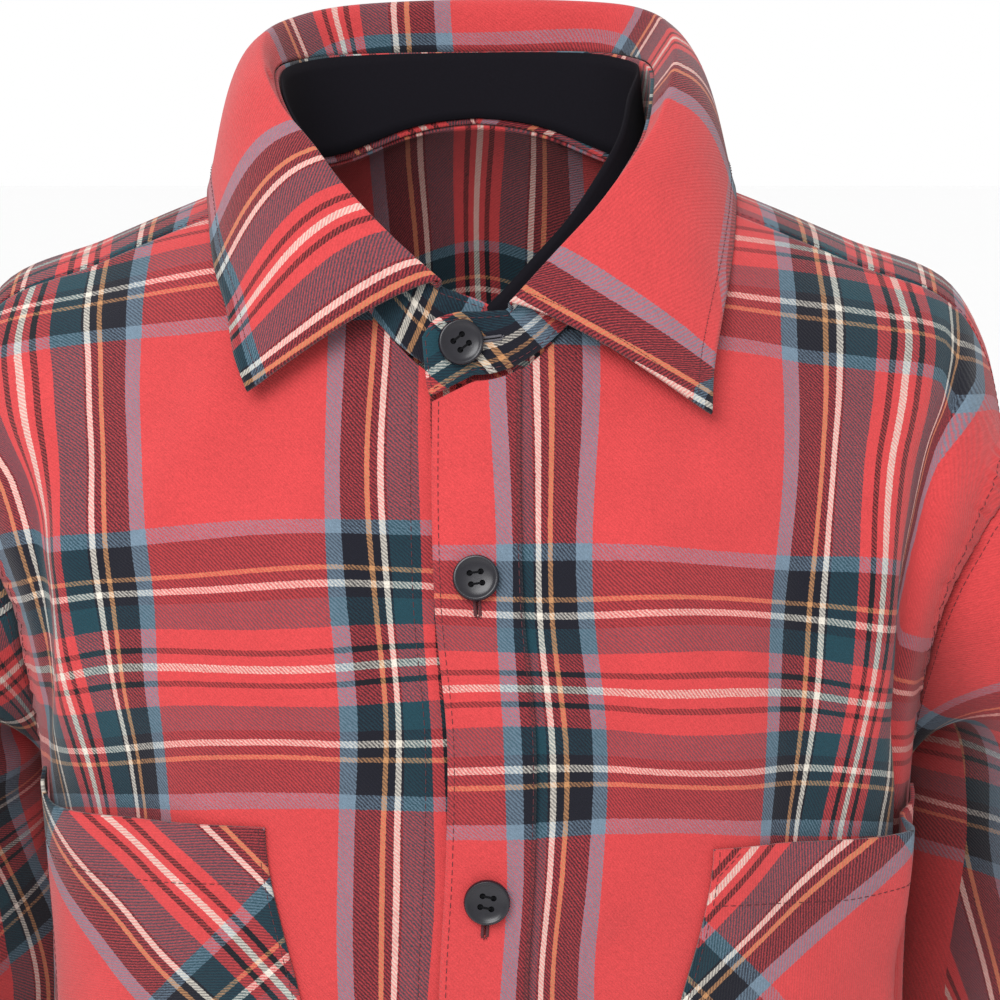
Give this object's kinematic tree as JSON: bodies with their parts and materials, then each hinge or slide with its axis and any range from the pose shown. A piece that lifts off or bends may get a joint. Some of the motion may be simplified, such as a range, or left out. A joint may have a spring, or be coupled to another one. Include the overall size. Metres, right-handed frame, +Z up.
{
  "type": "shirt",
  "caption": "Long-sleeved flannel shirt in a red tartan, worn and buttoned to the neck, with a turned-down collar, two chest patch pockets cut on the bias, a button band and buttoned cuffs",
  "frame": {"origin": "middle of the neck opening, level with the sides of the neck", "axes": "+Z up, -Y the front, +X the wearer's left"},
  "size_m": [0.5954, 0.2546, 0.7653],
  "materials": {
    "flannel": "brushed cotton twill in a red, navy, green, gold and white tartan",
    "lining": "smooth black cotton",
    "button": "satin charcoal with a raised rim and four holes"
  },
  "bodies": {
    "root": {"back": "flannel", "yoke": "flannel", "front_left": "flannel", "front_right": "flannel", "button_band": "flannel", "collar_stand": "flannel", "collar_fall": "flannel", "sleeve_left": "flannel", "sleeve_right": "flannel", "cuff_left": "flannel", "cuff_right": "flannel", "sleeve_placket_left": "flannel", "sleeve_placket_right": "flannel", "pocket_left": "flannel", "pocket_right": "flannel", "stand_lining": "lining", "button_1": "button", "button_2": "button", "button_3": "button", "button_4": "button", "button_5": "button", "button_6": "button", "button_cuff_left": "button", "button_cuff_right": "button"}
  },
  "joints": []
}
